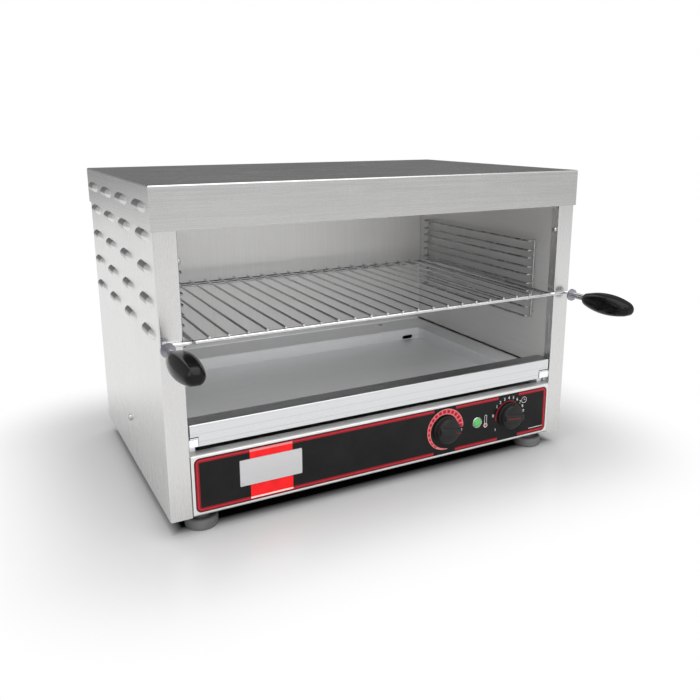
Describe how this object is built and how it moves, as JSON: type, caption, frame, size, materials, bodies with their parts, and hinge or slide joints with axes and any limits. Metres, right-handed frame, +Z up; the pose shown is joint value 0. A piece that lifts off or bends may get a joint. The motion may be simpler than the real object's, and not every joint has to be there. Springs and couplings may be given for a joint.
{
  "type": "cheese melter",
  "caption": "Open-fronted steel countertop grill with a radiant ceiling, a wire shelf with two grips on side racks, a slide-out tray and a control panel with two knobs below.",
  "frame": {"origin": "on the table under the middle of the whole object, from the front ends of the shelf's grips to the rear end of the cable gland", "axes": "+X to the right of a person facing the controls, -Y to the front, +Z up"},
  "size_m": [0.62, 0.526, 0.416],
  "materials": {
    "steel_casing": "brushed satin stainless steel sheet",
    "steel_cavity": "satin stainless steel sheet",
    "steel_tray": "bright rolled stainless steel",
    "steel_dull": "mill-finish steel sheet",
    "chrome_wire": "bright drawn wire",
    "screw_steel": "plain steel screws",
    "glass_ceramic": "dark glass-ceramic",
    "insulation": "matt ceramic fibre board",
    "ribbon": "oxidised resistance ribbon",
    "panel_black": "smooth dark overlay with red printing",
    "badge_metal": "plain satin plate",
    "control_body": "pale thermoset",
    "knob_black": "fine-textured black",
    "lens_green": "clear green",
    "bezel_chrome": "bright ring",
    "wire_red": "silicone insulation",
    "gland_black": "moulded nylon",
    "grip_black": "moulded heat-proof plastic",
    "foot_pad": "moulded grey plastic",
    "bush_brass": "machined brass"
  },
  "bodies": {
    "casing": {"side_panel_left": "steel_casing", "side_panel_right": "steel_casing", "back_panel": "steel_casing", "top_cover": "steel_casing", "base_plate": "steel_dull", "liner_left": "steel_cavity", "liner_right": "steel_cavity", "liner_back": "steel_cavity", "rear_ledge": "steel_tray", "electrics_deck": "steel_dull", "ceiling_frame": "steel_cavity", "glass_ceramic_pane": "glass_ceramic", "heater_trays": "steel_dull", "heater_insulation": "insulation", "heater_ribbons": "ribbon", "heat_shield": "steel_dull", "rack_left": "chrome_wire", "rack_right": "chrome_wire", "stop_screws": "screw_steel", "side_screws": "screw_steel", "back_screws": "screw_steel", "base_screws": "screw_steel", "tray_guide_left": "steel_tray", "tray_guide_right": "steel_tray", "control_fascia": "steel_casing", "control_overlay": "panel_black", "badge_plate": "badge_metal", "power_regulator": "control_body", "timer_body": "control_body", "pilot_body": "control_body", "pilot_bezel": "bezel_chrome", "pilot_lens": "lens_green", "safety_thermostat": "control_body", "terminal_block": "control_body", "cable_gland": "gland_black", "wiring_loom": "wire_red", "stud_bushes": "bush_brass"},
    "shelf": {"shelf_frame": "chrome_wire", "shelf_tie_wire": "chrome_wire", "shelf_front_bar": "chrome_wire", "shelf_cross_wires": "chrome_wire", "tail_rods": "chrome_wire", "guard_discs": "screw_steel", "grip_left": "grip_black", "grip_right": "grip_black"},
    "tray": {"tray_pan": "steel_tray", "tray_front_bar": "steel_tray"},
    "power_control": {"power_knob": "knob_black", "power_shaft": "screw_steel"},
    "timer_control": {"timer_knob": "knob_black", "timer_shaft": "screw_steel"},
    "front_left_foot": {"foot_front_left": "foot_pad", "stud_front_left": "screw_steel"},
    "front_right_foot": {"foot_front_right": "foot_pad", "stud_front_right": "screw_steel"},
    "rear_left_foot": {"foot_rear_left": "foot_pad", "stud_rear_left": "screw_steel"},
    "rear_right_foot": {"foot_rear_right": "foot_pad", "stud_rear_right": "screw_steel"}
  },
  "joints": [
    {"name": "shelf_slide", "type": "slide", "parent": "casing", "child": "shelf", "axis": [0, -1, 0], "range_m": [0, 0.25]},
    {"name": "tray_slide", "type": "slide", "parent": "casing", "child": "tray", "axis": [0, -1, 0], "range_m": [0, 0.25]},
    {"name": "power_turn", "type": "hinge", "parent": "casing", "child": "power_control", "pos_m": [0.087, -0.13903, 0.0645], "axis": [0, 1, 0], "range_deg": [0, 300]},
    {"name": "timer_turn", "type": "hinge", "parent": "casing", "child": "timer_control", "pos_m": [0.1995, -0.13903, 0.0645], "axis": [0, 1, 0], "range_deg": [-65, 180]},
    {"name": "front_left_foot_level", "type": "slide", "parent": "casing", "child": "front_left_foot", "axis": [0, 0, -1], "range_m": [0, 0.008]},
    {"name": "front_right_foot_level", "type": "slide", "parent": "casing", "child": "front_right_foot", "axis": [0, 0, -1], "range_m": [0, 0.008]},
    {"name": "rear_left_foot_level", "type": "slide", "parent": "casing", "child": "rear_left_foot", "axis": [0, 0, -1], "range_m": [0, 0.008]},
    {"name": "rear_right_foot_level", "type": "slide", "parent": "casing", "child": "rear_right_foot", "axis": [0, 0, -1], "range_m": [0, 0.008]}
  ]
}
